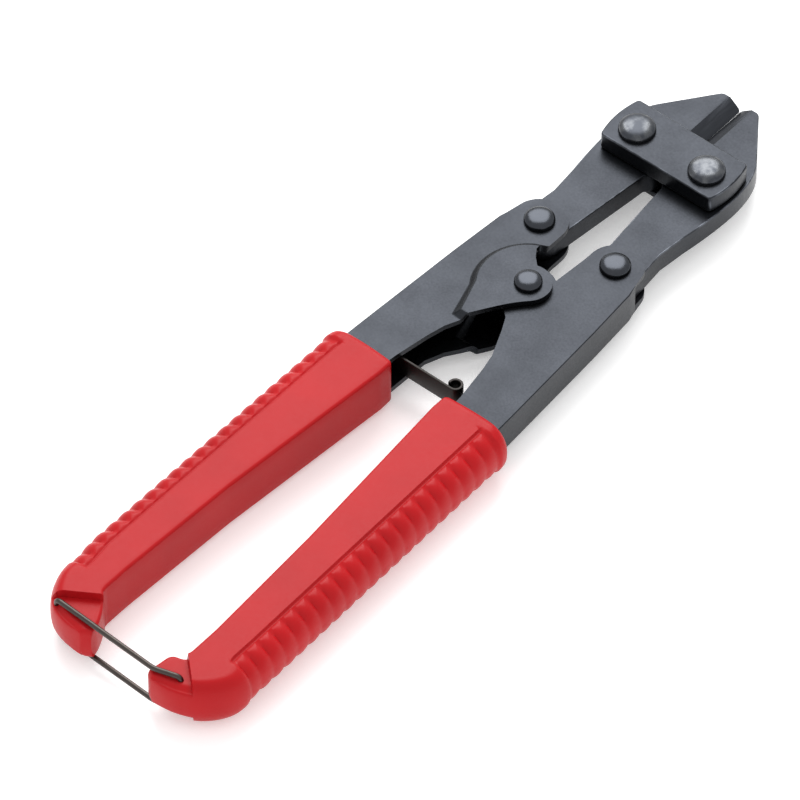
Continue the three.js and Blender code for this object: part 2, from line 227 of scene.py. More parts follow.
def add(tree, kind, inputs=None, **settings):
    """Adds a node. Inputs are values or other nodes' sockets, by name or number."""
    node = tree.nodes.new(kind)
    for key, value in settings.items():
        setattr(node, key, value)
    for key, value in (inputs or {}).items():
        if isinstance(value, bpy.types.NodeSocket):
            tree.links.new(value, node.inputs[key])
        else:
            node.inputs[key].default_value = value
    return node


def new_material(name):
    material = bpy.data.materials.get(name) or bpy.data.materials.new(name)
    material.use_nodes = True
    material.node_tree.nodes.clear()
    return material


def pattern(tree, size_mm, detail=3.0, stretch=(1, 1, 1)):
    """Noise on the object's coordinates whose blobs are about this many millimetres."""
    place = add(tree, "ShaderNodeTexCoord")
    turned = add(tree, "ShaderNodeMapping", {"Vector": place.outputs["Object"], "Scale": stretch})
    return add(tree, "ShaderNodeTexNoise", {
        "Vector": turned.outputs[0], "Scale": 1 / (size_mm * MM), "Detail": detail,
    }).outputs[0]


def ranged(tree, value, low, high, to_low, to_high):
    return add(tree, "ShaderNodeMapRange", {
        "Value": value, "From Min": low, "From Max": high, "To Min": to_low, "To Max": to_high,
    }).outputs[0]


def mixed(tree, share, first, second):
    return add(tree, "ShaderNodeMix", {0: share, 6: first, 7: second}, data_type="RGBA").outputs[2]


def bumped(tree, height, depth_mm, strength=1.0):
    return add(tree, "ShaderNodeBump", {
        "Height": height, "Distance": depth_mm * MM, "Strength": strength,
    }).outputs[0]


def shaded(material, **sockets):
    tree = material.node_tree
    inputs = {name.replace("_", " "): value for name, value in sockets.items()}
    shader = add(tree, "ShaderNodeBsdfPrincipled", inputs)
    output = add(tree, "ShaderNodeOutputMaterial")
    tree.links.new(shader.outputs[0], output.inputs["Surface"])
    return material


def rgba(colour, factor=1.0):
    return (*(part * factor for part in colour), 1.0)


def black_oxide_steel(looks):
    # Low-carbon steel, stamped, tumbled and hot-blacked. The thin oxide is almost black and
    # mirrors softly, so a face is grey only where it looks at a lamp.
    material = new_material("black_oxide_steel")
    tree = material.node_tree
    cloud = pattern(tree, 9)
    grain = pattern(tree, 0.5, detail=6)
    colour = mixed(tree, ranged(tree, cloud, 0.35, 0.65, 0, 1),
                   rgba(looks.steel, 0.9), rgba(looks.steel, 1.12))
    return shaded(material, Base_Color=colour, Metallic=1.0,
                  Roughness=ranged(tree, grain, 0.3, 0.7, 0.30, 0.40),
                  Normal=bumped(tree, grain, 0.012))


def rubbed_steel_edge(looks):
    # The same steel on its edges, where handling has rubbed the oxide thin.
    material = new_material("rubbed_steel_edge")
    tree = material.node_tree
    rub = ranged(tree, pattern(tree, 3.5, detail=4), 0.42, 0.72, 0, 1)
    colour = mixed(tree, rub, rgba(looks.steel), rgba(looks.steel, 3.0))
    grain = pattern(tree, 0.5, detail=6)
    return shaded(material, Base_Color=colour, Metallic=1.0,
                  Roughness=ranged(tree, rub, 0, 1, 0.36, 0.28),
                  Normal=bumped(tree, grain, 0.012))


def burnished_oxide_steel(looks):
    # Cold-headed rivets, blacked and burnished by the heading tool: the dome mirrors a lamp in a
    # clear round patch with a dark ring about it.
    material = new_material("burnished_oxide_steel")
    tree = material.node_tree
    grain = pattern(tree, 0.8, detail=5)
    colour = mixed(tree, grain, rgba(looks.steel, 1.3), rgba(looks.steel, 1.7))
    return shaded(material, Base_Color=colour, Metallic=1.0,
                  Roughness=ranged(tree, grain, 0.3, 0.7, 0.22, 0.28),
                  Normal=bumped(tree, grain, 0.008))


def worn_rivet_steel(looks):
    # Cold-headed rivets, blacked with the tool and worn bright in patches on their domes.
    material = new_material("worn_rivet_steel")
    tree = material.node_tree
    patch = pattern(tree, 2.6, detail=6)
    scratch = pattern(tree, 0.35, detail=4, stretch=(1, 5, 1))
    wear = ranged(tree, patch, 0.44, 0.62, 0, 1)
    colour = mixed(tree, wear, rgba(looks.steel, 1.7), rgba(looks.rubbed))
    return shaded(material, Base_Color=colour, Metallic=1.0,
                  Roughness=ranged(tree, wear, 0, 1, 0.36, 0.26),
                  Normal=bumped(tree, scratch, 0.01))


def ground_steel(looks):
    # The cutting bevels, ground after blacking: fine parallel scratches and a brighter grey.
    material = new_material("ground_steel")
    tree = material.node_tree
    scratch = pattern(tree, 0.5, detail=4, stretch=(1, 0.12, 1))
    colour = mixed(tree, scratch, rgba(looks.steel, 0.9), rgba(looks.steel, 1.6))
    return shaded(material, Base_Color=colour, Metallic=1.0,
                  Roughness=ranged(tree, scratch, 0.3, 0.7, 0.26, 0.36),
                  Normal=bumped(tree, scratch, 0.01))


def honed_steel(looks):
    # The very edge of the blades, honed to bare steel: a thin bright line along the bevel.
    material = new_material("honed_steel")
    tree = material.node_tree
    scratch = pattern(tree, 0.4, detail=4, stretch=(1, 0.12, 1))
    colour = mixed(tree, scratch, rgba(looks.rubbed, 1.2), rgba(looks.rubbed, 2.2))
    return shaded(material, Base_Color=colour, Metallic=1.0, Roughness=0.28,
                  Normal=bumped(tree, scratch, 0.01))


def moulded_vinyl(looks):
    # Soft PVC, injection moulded: saturated red, satin on the flat faces and glossy where the
    # mould was polished, with very shallow flow marks.
    material = new_material("moulded_vinyl")
    tree = material.node_tree
    flow = pattern(tree, 14, detail=2)
    skin = pattern(tree, 0.6, detail=5)
    colour = mixed(tree, ranged(tree, flow, 0.3, 0.7, 0, 1),
                   rgba(looks.vinyl, 0.94), rgba(looks.vinyl, 1.05))
    return shaded(material, Base_Color=colour, Roughness=ranged(tree, skin, 0.3, 0.7, 0.30, 0.40),
                  Specular_IOR_Level=0.13, Normal=bumped(tree, skin, 0.01))


def drawn_wire_steel(looks):
    # Hard-drawn spring wire, lightly oiled: a warm dark grey with draw lines.
    material = new_material("drawn_wire_steel")
    tree = material.node_tree
    lines = pattern(tree, 0.5, detail=4, stretch=(0.15, 1, 1))
    colour = mixed(tree, lines, rgba(looks.wire, 0.7), rgba(looks.wire, 1.3))
    return shaded(material, Base_Color=colour, Metallic=1.0,
                  Roughness=ranged(tree, lines, 0.3, 0.7, 0.28, 0.4),
                  Normal=bumped(tree, lines, 0.01))


def tempered_spring_steel(looks):
    # Rolled strip, hardened and tempered in oil: near black with a faint mottling.
    material = new_material("tempered_spring_steel")
    tree = material.node_tree
    cloud = pattern(tree, 3, detail=5)
    colour = mixed(tree, cloud, rgba(looks.spring, 0.8), rgba(looks.spring, 1.4))
    return shaded(material, Base_Color=colour, Metallic=1.0,
                  Roughness=ranged(tree, cloud, 0.3, 0.7, 0.32, 0.45),
                  Normal=bumped(tree, cloud, 0.01))


def backlit_paper(looks):
    # Matt white background paper on a light table, which takes most of the shadow away. Its
    # faint fibre is all that shows of it.
    material = new_material("backlit_paper")
    tree = material.node_tree
    fibre = pattern(tree, 4, detail=4)
    colour = mixed(tree, fibre, rgba(looks.floor, 0.99), rgba(looks.floor))
    return shaded(material, Base_Color=colour, Roughness=0.9, Emission_Color=colour,
                  Emission_Strength=0.35)


# ---- Sizes and colours -------------------------------------------------------------------------
def length(name, description, millimetres):
    return FloatProperty(name=name, description=description, default=millimetres * MM,
                         unit="LENGTH", subtype="DISTANCE", precision=5)


def colour(name, description, text):
    return FloatVectorProperty(name=name, description=description, default=linear(text),
                               subtype="COLOR", size=3, min=0, max=1)


class SteelSizes(PropertyGroup):
    plate_rim: length("Plate rim", "Rounding of the straps' edges", 0.35)
    jaw_rim: length("Jaw rim", "Rounding of the jaws' edges", 0.3)
    honed_width: length("Honed width", "Width of the bright line along the cutting edges", 0.11)
    fold_radius: length("Fold radius", "Outside radius of the handles' folds", 1.5)
    sheet_rim: length("Sheet rim", "Rounding of the sheet steel's cut edges", 0.22)
    rivet_sides: IntProperty(name="Rivet sides", description="Faces round a rivet", default=48)


class GripSizes(PropertyGroup):
    rib_pitch: length("Rib pitch", "Distance from rib to rib", 3.85)
    rib_depth: length("Rib depth", "Depth of the notches between ribs", 0.8)
    rib_inset: length("Rib inset", "How far the ribs lie below the plain collar", 0.3)
    groove_depth: length("Groove depth", "Depth of the line beside the ribs", 0.6)
    groove_width: length("Groove width", "Width of the line beside the ribs", 1.0)
    rim: length("Rim", "Rounding of the inner edges", 0.7)
    recess: length("Recess", "Depth of the tail's recessed faces", 1.9)


class WireSizes(PropertyGroup):
    wire_radius: length("Wire radius", "Half the latch wire's thickness", 0.6)
    spring_thickness: length("Spring thickness", "Thickness of the spring strip", 0.6)
    spring_half: length("Spring half width", "Half the spring strip's width", 2.5)


class Looks(PropertyGroup):
    steel: colour("Blackened steel", "Reflection of the black oxide", "#303236")
    rubbed: colour("Rubbed steel", "Reflection where the oxide has worn off", "#585A5D")
    vinyl: colour("Vinyl", "Grips", "#AC151A")
    wire: colour("Wire", "Latch wire", "#4A4542")
    spring: colour("Spring", "Return spring", "#2C2A29")
    floor: colour("Floor", "Background paper", "#F2F2F2")


class StageSizes(PropertyGroup):
    azimuth: FloatProperty(name="Azimuth", description="Camera's turn about the vertical",
                           default=math.radians(40.1), subtype="ANGLE")
    elevation: FloatProperty(name="Elevation", description="Camera's height above the floor",
                             default=math.radians(48.3), subtype="ANGLE")
    distance: length("Distance", "Camera to the tool", 2000)
    softbox: FloatProperty(name="Softbox", description="Power of the large lamp behind the tool",
                           default=6.8, unit="POWER")
    fill: FloatProperty(name="Fill", description="Brightness of the room", default=1.0, min=0)


# ---- Pieces ------------------------------------------------------------------------------------
RUBBED, GROUND, HONED = 1, 2, 3          # a steel piece's materials after the plain black one
STRAP_BULGE = 1.0                        # how far a strap's ends stand out from its corners
STRAP_CORNER = 0.6                       # rounding of its upright corners


class BuildStraps(Operator):
    """The thick plate above the jaws and the thin one below, with slightly rubbed edges"""
    bl_idname = "bolt_cutters.straps"
    bl_label = "Straps"

    def execute(self, context):
        sizes, looks = context.scene.cutter_steel, context.scene.cutter_looks
        materials = [black_oxide_steel(looks), rubbed_steel_edge(looks)]
        for name in ("top", "bottom"):
            low, high = (in_tool(corner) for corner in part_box(f"strap_plate_{name}"))
            corner, bulge = high.x - STRAP_BULGE, high.x + STRAP_BULGE
            middle = (low.y + high.y) / 2
            outline = [(corner, low.y)]
            outline += curve((corner, low.y), (bulge, middle), (corner, high.y), steps=14)
            outline += [(-x, high.y + low.y - y) for x, y in outline]
            bm = plate(outline, low.z, high.z)
            corners = [edge for edge in sharp_edges(bm, 20)
                       if abs(edge.verts[0].co.z - edge.verts[1].co.z) > 1]
            mark(rounded(bm, corners, STRAP_CORNER, segments=2), RUBBED)
            mark(rounded(bm, sharp_edges(bm, 60), sizes.plate_rim / MM), RUBBED)
            piece = placed(f"strap_{name}", bm, materials, "head",
                           [f"strap_plate_{name}"])
            keep_faces_flat(piece)
        return {"FINISHED"}


BLADE_X = 0.05                           # half the gap between the closed cutting edges
EDGE_HALF = 0.12                         # half the thickness that is left at the edge
BEVEL_WIDTH = 3.2
BEVEL_BACK = 35.0                        # y where the bevels run out
BEVEL_RAMP = 1.0                         # length over which they do


def jaw_outline():
    """The right jaw. Behind its pivot the inner edge is an arc about the pivot."""
    tip = JAW_FRONT
    points = [(BLADE_X, tip - 0.7)]
    points += curve(points[-1], (0.1, tip), (0.9, tip), steps=3)
    points.append((4.2, tip))
    points += curve(points[-1], (5.0, tip), (5.5, tip - 0.8), steps=3)
    points.append((13.6, 43.8))
    points += curve(points[-1], (16.5, 39.8), (16.6, 32.0))
    points += curve(points[-1], (16.6, 25.5), (15.3, 17.0))
    points.append((14.6, 10.0))
    points += arc(LINK_PIVOT, JAW_TAIL_RADIUS, 0.04, -1.0, 20)
    points += [(4.3, 8.0), (2.6, 24.0)]
    points += arc(JAW_PIVOT, JAW_PIVOT.x - BLADE_X, 1.235, 1.0, 6)
    return points


def cut(bm, point, normal):
    geometry = [*bm.verts, *bm.edges, *bm.faces]
    bmesh.ops.bisect_plane(bm, geom=geometry, plane_co=point, plane_no=normal, dist=1e-4)


class BuildJaws(Operator):
    """Forged jaws, ground on both faces down to the cutting edge"""
    bl_idname = "bolt_cutters.jaws"
    bl_label = "Jaws"

    def execute(self, context):
        sizes, looks = context.scene.cutter_steel, context.scene.cutter_looks
        materials = [black_oxide_steel(looks), rubbed_steel_edge(looks), ground_steel(looks),
                     honed_steel(looks)]
        for side, left in (("left", True), ("right", False)):
            bm = plate(jaw_outline(), -JAW_HALF, JAW_HALF)
            cut(bm, (BEVEL_WIDTH, 0, 0), (1, 0, 0))
            cut(bm, (0, BEVEL_BACK, 0), (0, 1, 0))
            cut(bm, (0, BEVEL_BACK + BEVEL_RAMP, 0), (0, 1, 0))
            for vert in bm.verts:
                if vert.co.y > BEVEL_BACK + BEVEL_RAMP / 2 and vert.co.x < BEVEL_WIDTH:
                    share = (vert.co.x - BLADE_X) / (BEVEL_WIDTH - BLADE_X)
                    half = EDGE_HALF + (JAW_HALF - EDGE_HALF) * share
                    vert.co.z = math.copysign(half, vert.co.z)
            bm.normal_update()
            blade = [face for face in bm.faces
                     if face.calc_center_median().x < BEVEL_WIDTH
                     and face.calc_center_median().y > BEVEL_BACK
                     and 0.3 < abs(face.normal.z) < 0.95]
            mark(blade, GROUND)
            rim = [edge for edge in sharp_edges(bm, 55)
                   if not any(face in blade for face in edge.link_faces)]
            mark(rounded(bm, rim, sizes.jaw_rim / MM, segments=2), RUBBED)
            edge = [line for line in bm.edges if all(
                vert.co.y > BEVEL_BACK and abs(vert.co.x - BLADE_X) < 1e-3
                and abs(abs(vert.co.z) - EDGE_HALF) < 1e-3 for vert in line.verts)]
            mark(rounded(bm, edge, sizes.honed_width / MM, segments=1), HONED)
            piece = placed(f"cutting_jaw_{side}", bm, materials, f"jaw_{side}",
                           [f"jaw_{side}"], left=left)
            keep_faces_flat(piece)
        return {"FINISHED"}


# Each rivet's radii of shank and head, and its head's rise.
JAW_RIVET = (2.9, 4.1, 2.0)
LINK_RIVET = (2.2, 3.4, 1.8)
CENTRE_RIVET = (2.0, 3.05, 1.7)


def rivet_end(shank, head, rise, base):
    """Half of a rivet's outline: a flattened dome on a short straight side."""
    side, power, steps = 0.3, 2 / 2.8, 12
    points = [(0, base + rise)]
    for i in range(2, steps + 1):
        turn = math.pi / 2 * i / steps
        points.append((head * math.sin(turn) ** power,
                       base + side + (rise - side) * max(math.cos(turn), 0) ** power))
    return points + [(head, base + 0.02), (head - 0.2, base - 0.1), (shank, base - 0.1)]


def rivet(shank, head, rise, upper, lower, sides):
    """A rivet with a head at both ends, above and below these two heights."""
    bm = bmesh.new()
    profile = rivet_end(shank, head, rise, upper)
    profile += [(x, -z) for x, z in reversed(rivet_end(shank, head, rise, lower))]
    verts = [bm.verts.new((x, 0, z)) for x, z in profile]
    edges = [bm.edges.new(pair) for pair in zip(verts, verts[1:])]
    bmesh.ops.spin(bm, geom=[*verts, *edges], cent=(0, 0, 0), axis=(0, 0, 1),
                   angle=math.tau, steps=sides, use_merge=True)
    bmesh.ops.remove_doubles(bm, verts=bm.verts, dist=1e-4)
    bmesh.ops.recalc_face_normals(bm, faces=bm.faces)
    return bm


class BuildRivets(Operator):
    """Domed rivets on the jaw, link and centre pivots"""
    bl_idname = "bolt_cutters.rivets"
    bl_label = "Rivets"

    def execute(self, context):
        sides = context.scene.cutter_steel.rivet_sides
        looks = context.scene.cutter_looks
        worn, burnished = worn_rivet_steel(looks), burnished_oxide_steel(looks)
        jaw_size = (*JAW_RIVET, STRAP_TOP, -STRAP_UNDER)
        link_size = (*LINK_RIVET, CHEEK_OUT, CHEEK_OUT)
        shapes = [("jaw_rivet", JAW_PIVOT, jaw_size, worn, "worn_steel"),
                  ("link_rivet", LINK_PIVOT, link_size, burnished, "blackened_steel")]
        bodies = {"jaw_rivet": ("head", "head"), "link_rivet": ("handle_left", "handle_right")}
        for name, pivot, size, material, slot in shapes:
            for side, body in zip(("left", "right"), bodies[name]):
                bm = rivet(*size, sides)
                moved(bm, bm.verts, x=pivot.x, y=pivot.y)
                placed(f"domed_{name}_{side}", bm, [material], body, [f"{name}_{side}"],
                       left=side == "left")
        bm = rivet(*CENTRE_RIVET, TAB_OUT, TAB_OUT, sides)
        moved(bm, bm.verts, x=CENTRE_PIVOT.x, y=CENTRE_PIVOT.y)
        placed("domed_centre_rivet", bm, [burnished], "handle_left",
               ["centre_rivet"])
        for holder in frame["nodes"]["centre_spacer"].material_slots:
            holder.material = black_oxide_steel(looks)
        return {"FINISHED"}


def right_cheek():
    points = EYE_LINE + WEB_LINE + MOUTH_LINE + [(3.6, -29.4), (1.8, -25.9)]
    points += arc(CENTRE_PIVOT, CENTRE_EYE_RADIUS, -0.7, -1.68, 20)
    return points + [(3.6, -7.8)]


def left_cheek(lip):
    """The left cheek's base, its raised tab and the two lines between which it steps up. With
    the lip it is the lower cheek, which reaches further over the mouth."""
    end_x, end_y = STEP_END
    inner = arc(CENTRE_PIVOT, STEP_RADIUS, 0.354, -0.2, 12)
    inner += [STEP_END, (1.74 if lip else 4.31, end_y)]
    outer = [(4.1, -4.7)] + arc(CENTRE_PIVOT, STEP_RADIUS + STEP_LAP, 0.354, -0.2, 12)[1:]
    outer += [(end_x + STEP_LAP, end_y - STEP_LAP), (2.48 if lip else 4.9, end_y - STEP_LAP)]
    mouth = MOUTH_LINE[:2] + LIP_LINE if lip else MOUTH_LINE
    base = EYE_LINE + WEB_LINE + mouth + outer[::-1]
    tab = inner + ([(0.0, -28.4)] if lip else [(1.7, -27.0)])
    tab += curve(tab[-1], (-1.6, -24.0) if lip else (-1.0, -22.6), (-3.7, -20.0), steps=6)
    tab += arc(CENTRE_PIVOT, TAB_RADIUS, -0.75, -1.6, 18)[1:]
    tab += [(3.5, -9.6), (4.9, -7.6)]
    return base, tab, inner, outer


def on_line(vert, line, z):
    return abs(vert.co.z - z) < 1e-3 and any(
        (vert.co.xy - Vector(point)).length < 1e-3 for point in line)


def edges_on(bm, line, z):
    return [edge for edge in bm.edges if all(on_line(vert, line, z) for vert in edge.verts)]


def folded_half(bm, cheek, fold_radius, tab=None, inner=None, outer=None):
    """An upper cheek, with its raised tab if it has one, folded down along the web line."""
    polygon(bm, cheek, CHEEK_OUT)
    if tab:
        polygon(bm, tab, TAB_OUT)
        steps = edges_on(bm, inner, TAB_OUT) + edges_on(bm, outer, CHEEK_OUT)
        bmesh.ops.bridge_loops(bm, edges=steps)
        steps = edges_on(bm, inner, TAB_OUT) + edges_on(bm, outer, CHEEK_OUT)
        rounded(bm, steps, STEP_ROUNDING, segments=2)
    fold = edges_on(bm, WEB_LINE, CHEEK_OUT)
    made = bmesh.ops.extrude_edge_only(bm, edges=fold)
    moved(bm, made["geom"], z=-CHEEK_OUT)
    rounded(bm, edges_on(bm, WEB_LINE, CHEEK_OUT), fold_radius, segments=5)


def folded_channel(fold_radius, lower, upper):
    """The outside of a channel, from the outlines of its two cheeks."""
    bm = bmesh.new()
    folded_half(bm, lower[0], fold_radius, *lower[1:])
    bmesh.ops.scale(bm, vec=(1, 1, -1), verts=bm.verts)
    folded_half(bm, upper[0], fold_radius, *upper[1:])
    bmesh.ops.remove_doubles(bm, verts=bm.verts, dist=1e-3)
    bmesh.ops.recalc_face_normals(bm, faces=bm.faces)
    top = max(bm.faces, key=lambda face: face.calc_center_median().z)
    if top.normal.z < 0:
        bmesh.ops.reverse_faces(bm, faces=bm.faces)
    return bm


class BuildHandles(Operator):
    """Folded sheet-steel handles, the left one with its tab stepped out over the centre"""
    bl_idname = "bolt_cutters.handles"
    bl_label = "Handles"

    def execute(self, context):
        sizes, looks = context.scene.cutter_steel, context.scene.cutter_looks
        materials = [black_oxide_steel(looks), rubbed_steel_edge(looks)]
        fold = sizes.fold_radius / MM
        shapes = [("left", folded_channel(fold, left_cheek(True), left_cheek(False))),
                  ("right", folded_channel(fold, [right_cheek()], [right_cheek()]))]
        for side, bm in shapes:
            piece = placed(f"folded_handle_{side}", bm, materials, f"handle_{side}",
                           [f"handle_{side}"], left=side == "left", smooth=50)
            wall = piece.modifiers.new("wall", "SOLIDIFY")
            wall.thickness = SHEET * MM
            wall.offset = -1
            wall.use_even_offset = True
            rim = piece.modifiers.new("rim", "BEVEL")
            rim.width = sizes.sheet_rim
            rim.segments = 2
            rim.limit_method = "ANGLE"
            rim.angle_limit = math.radians(60)
            rim.material = RUBBED
            keep_faces_flat(piece)
        return {"FINISHED"}


# ---- Grips -------------------------------------------------------------------------------------
GRIP_FRONT_Y = -51.7
RIB_START_Y = -55.0
RIB_END_Y = -135.5
TAIL_START_Y = -137.0
ROUND_SIDE = 5.0                         # how far the round outer side stands out
TAIL_ROUND_SIDE = 3.4
FRONT_ROUNDING = 1.3
FRONT_BULGE = 0.5                        # how far the front end stands out at its middle
ROWS_PER_RIB = 8
TAIL_ROWS = 44
NOSE_ROWS = 3                            # the last of them, which round off the hooked end
NOSE_ROUNDING = 0.5                      # how much of the half thickness they lose
RECESS_LINES = {"right": (Vector((12.3, -139.6)), Vector((18.9, -145.7))),
                "left": (Vector((12.3, -139.6)), Vector((20.5, -144.9)))}


def inner_line(left):
    line = [(7.2, GRIP_FRONT_Y), (7.1, -56.0), (10.7, -100.0)]
    if left:
        line += [(12.0, -131.0), (12.0, TAIL_START_Y), (11.8, -138.2)]
        line += curve(line[-1], (9.0, -141.4), (7.7, -145.0), steps=10)
        return line + curve(line[-1], (7.4, -146.2), (7.4, -147.2), steps=4)
    line += [(12.4, -131.0), (12.4, TAIL_START_Y), (12.4, -138.6)]
    line += curve(line[-1], (12.3, -140.3), (10.2, -140.6), steps=6)
    line += curve(line[-1], (8.7, -140.9), (8.6, -142.6), steps=6)
    return line + curve(line[-1], (8.2, -145.6), (8.0, -147.2), steps=5)


def outer_line(left):
    pulled = 1.5 if left else 0.0
    line = [(24.3, GRIP_FRONT_Y), (24.6, -54.0), (GRIP_OUTER - pulled / 2, -128.0),
            (GRIP_OUTER - pulled, TAIL_START_Y + 2 * pulled)]
    line += curve(line[-1], (25.5 - pulled, -141.6), (21.2 - pulled / 2, -146.2), (17.6, -147.2),
                  steps=12)
    return line + curve(line[-1], (14.2, -148.7), (9.4, -148.3), steps=8)


def x_at(line, y):
    """Where a line that runs back from the front crosses a y."""
    for (x0, y0), (x1, y1) in zip(line, line[1:]):
        if y1 <= y <= y0:
            return x0 + (x1 - x0) * (y0 - y) / (y0 - y1)
    return line[0][0] if y > line[0][1] else line[-1][0]


def behind(line, y):
    return [point for point in line if point[1] < y - 1e-6]


def smooth_step(low, high, value):
    share = min(max((value - low) / (high - low), 0), 1)
    return share * share * (3 - 2 * share)


def grip_rows(sizes, left):
    """The grip's stations from front to tail: inner point, outer point and rounding."""
    inner, outer = inner_line(left), outer_line(left)
    rows = []
    for turn in (0.0, 22.5, 45.0, 67.5):
        inset = FRONT_ROUNDING * (1 - math.sin(math.radians(turn)))
        y = GRIP_FRONT_Y - FRONT_ROUNDING * (1 - math.cos(math.radians(turn)))
        rows.append(((x_at(inner, y) + inset, y), (x_at(outer, y) - inset, y), inset))
    spacing = sizes.rib_pitch / MM / ROWS_PER_RIB
    y = GRIP_FRONT_Y - FRONT_ROUNDING
    while y > TAIL_START_Y:
        rows.append(((x_at(inner, y), y), (x_at(outer, y), y), 0.0))
        y -= spacing
    tail_inner = [(x_at(inner, TAIL_START_Y), TAIL_START_Y)] + behind(inner, TAIL_START_Y)
    tail_outer = [(x_at(outer, TAIL_START_Y), TAIL_START_Y)] + behind(outer, TAIL_START_Y)
    for i in range(TAIL_ROWS + 1):
        share = i / TAIL_ROWS
        closing = max(0, i - TAIL_ROWS + NOSE_ROWS) / NOSE_ROWS
        inset = GRIP_HALF * (1 - math.sqrt(1 - closing * closing)) * NOSE_ROUNDING
        rows.append((tuple(point_at(tail_inner, share)), tuple(point_at(tail_outer, share)), inset))
    return rows


def in_ribs(y):
    """1 where the ribs are and 0 on the plain collar and tail."""
    return smooth_step(RIB_START_Y + 0.5, RIB_START_Y - 0.3, y) * smooth_step(
        RIB_END_Y - 0.5, RIB_END_Y + 0.3, y)


def rib_notch(y, pitch):
    """0 on a rib's crown and 1 in the notch between two ribs."""
    share = ((RIB_START_Y - y) / pitch) % 1
    return (1 - abs(math.sin(math.pi * share)) ** 0.7) * in_ribs(y)


def grip_section(start, end, inset, sizes):
    """The upper half of one station, as places in plan and heights, inner side first."""
    start, end = Vector(start), Vector(end)
    width = (end - start).length
    half = GRIP_HALF - inset
    y = end.y
    in_tail = smooth_step(TAIL_START_Y + 3, TAIL_START_Y - 3, y)
    side = ROUND_SIDE + (TAIL_ROUND_SIDE - ROUND_SIDE) * in_tail
    groove_depth = sizes.groove_depth / MM * in_ribs(y)
    groove_width = sizes.groove_width / MM
    rim = sizes.rim / MM
    squeeze = min(1, width / (rim + side + groove_width + 1.2))
    rim, side, groove_width = rim * squeeze, side * squeeze, groove_width * squeeze
    points = [(0, 0), (0, half * 0.45), (0, half - rim)]
    for degrees in (22.5, 45, 67.5, 90):
        turn = math.radians(degrees)
        points.append((rim * (1 - math.cos(turn)), half - rim * (1 - math.sin(turn))))
    last = width - side - groove_width
    columns = 8
    for i in range(1, columns + 1):
        points.append((rim + (last - rim) * i / columns, half))
    for across, deep in ((0.2, 0.7), (0.4, 1.0), (0.7, 1.0), (1.0, 0.6)):
        points.append((last + groove_width * across, half - groove_depth * deep))
    count, power = 14, 2 / 2.25
    notch = rib_notch(y, sizes.rib_pitch / MM) * sizes.rib_depth / MM
    for i in range(1, count + 1):
        part = i / count
        turn = math.pi / 2 * part
        deep = notch * smooth_step(-0.1, 0.2, part) * (1 - 0.72 * smooth_step(0.35, 0.9, part))
        deep += sizes.rib_inset / MM * in_ribs(y)
        points.append((width - side + side * math.sin(turn) ** power - deep * math.sin(turn),
                       (half * max(math.cos(turn), 0) ** power - deep * math.cos(turn))))
    direction = (end - start) / width
    return [(start + direction * across, max(height, 0)) for across, height in points]


def sink_recess(bm, line, floor):
    """Lowers the flat of the tail's upper half to the recess floor behind the recess line. The
    round side below it stays nearly as it is."""
    start, end = line
    ahead = (end - start).normalized()
    behind_line = Vector((ahead.y, -ahead.x))
    wall = 0.25
    for shift in (0, wall):
        point = start + behind_line * shift
        cut(bm, (*point, 0), (*behind_line, 0))
    for vert in bm.verts:
        if (vert.co.xy - start).dot(behind_line) > wall / 2 and vert.co.y < TAIL_START_Y:
            vert.co.z -= (GRIP_HALF - floor) * smooth_step(0.5, 0.97, vert.co.z / GRIP_HALF)


class BuildGrips(Operator):
    """Moulded vinyl grips: a flat face, a line beside the ribs, ribs round the outer side and
    a hooked tail that is recessed for the latch wire"""
    bl_idname = "bolt_cutters.grips"
    bl_label = "Grips"

    def execute(self, context):
        sizes, looks = context.scene.cutter_grips, context.scene.cutter_looks
        vinyl = moulded_vinyl(looks)
        for side, left in (("left", True), ("right", False)):
            rows = [grip_section(*row, sizes) for row in grip_rows(sizes, left)]
            front = [(point, 0.0) for point, _ in rows[0]]
            rear = [(point, 0.0) for point, _ in rows[-1]]
            rows = [front, *rows, rear]
            columns = len(rows[0])
            bm = bmesh.new()
            bmesh.ops.create_grid(bm, x_segments=columns - 1, y_segments=len(rows) - 1, size=1)
            for vert in bm.verts:
                column = round((vert.co.x + 1) / 2 * (columns - 1))
                row = round((vert.co.y + 1) / 2 * (len(rows) - 1))
                point, height = rows[row][column]
                bulge = math.sin(math.pi * (point.x - 7) / 17.5) * max(0, 1 - row / 16)
                bulge *= FRONT_BULGE
                vert.co = (point.x, point.y + max(bulge, 0), height)
            sink_recess(bm, RECESS_LINES[side], GRIP_HALF - sizes.recess / MM)
            bmesh.ops.mirror(bm, geom=[*bm.verts, *bm.edges, *bm.faces], merge_dist=1e-4, axis="Z")
            bmesh.ops.remove_doubles(bm, verts=bm.verts, dist=1e-3)
            bmesh.ops.dissolve_degenerate(bm, edges=bm.edges, dist=1e-4)
            bmesh.ops.recalc_face_normals(bm, faces=bm.faces)
            placed(f"ribbed_grip_{side}", bm, [vinyl], f"handle_{side}",
                   [f"grip_{side}"], left=left, smooth=48)
        return {"FINISHED"}


# ---- Wire and spring ---------------------------------------------------------------------------
WIRE_BEND = (9.1, -146.7)
WIRE_HOOK = (-18.2, -145.5)
WIRE_CORNER = 1.3
LEG_END = 1.4
SPRING_EYE = ((-15.9, -23.0), 1.3)       # centre and radius of the rolled end in the left handle
SPRING_BEND = ((-13.5, -43.4), 4.0)
SPRING_CURL = ((4.9, -46.0), 1.4)
SPRING_RIM = 0.12


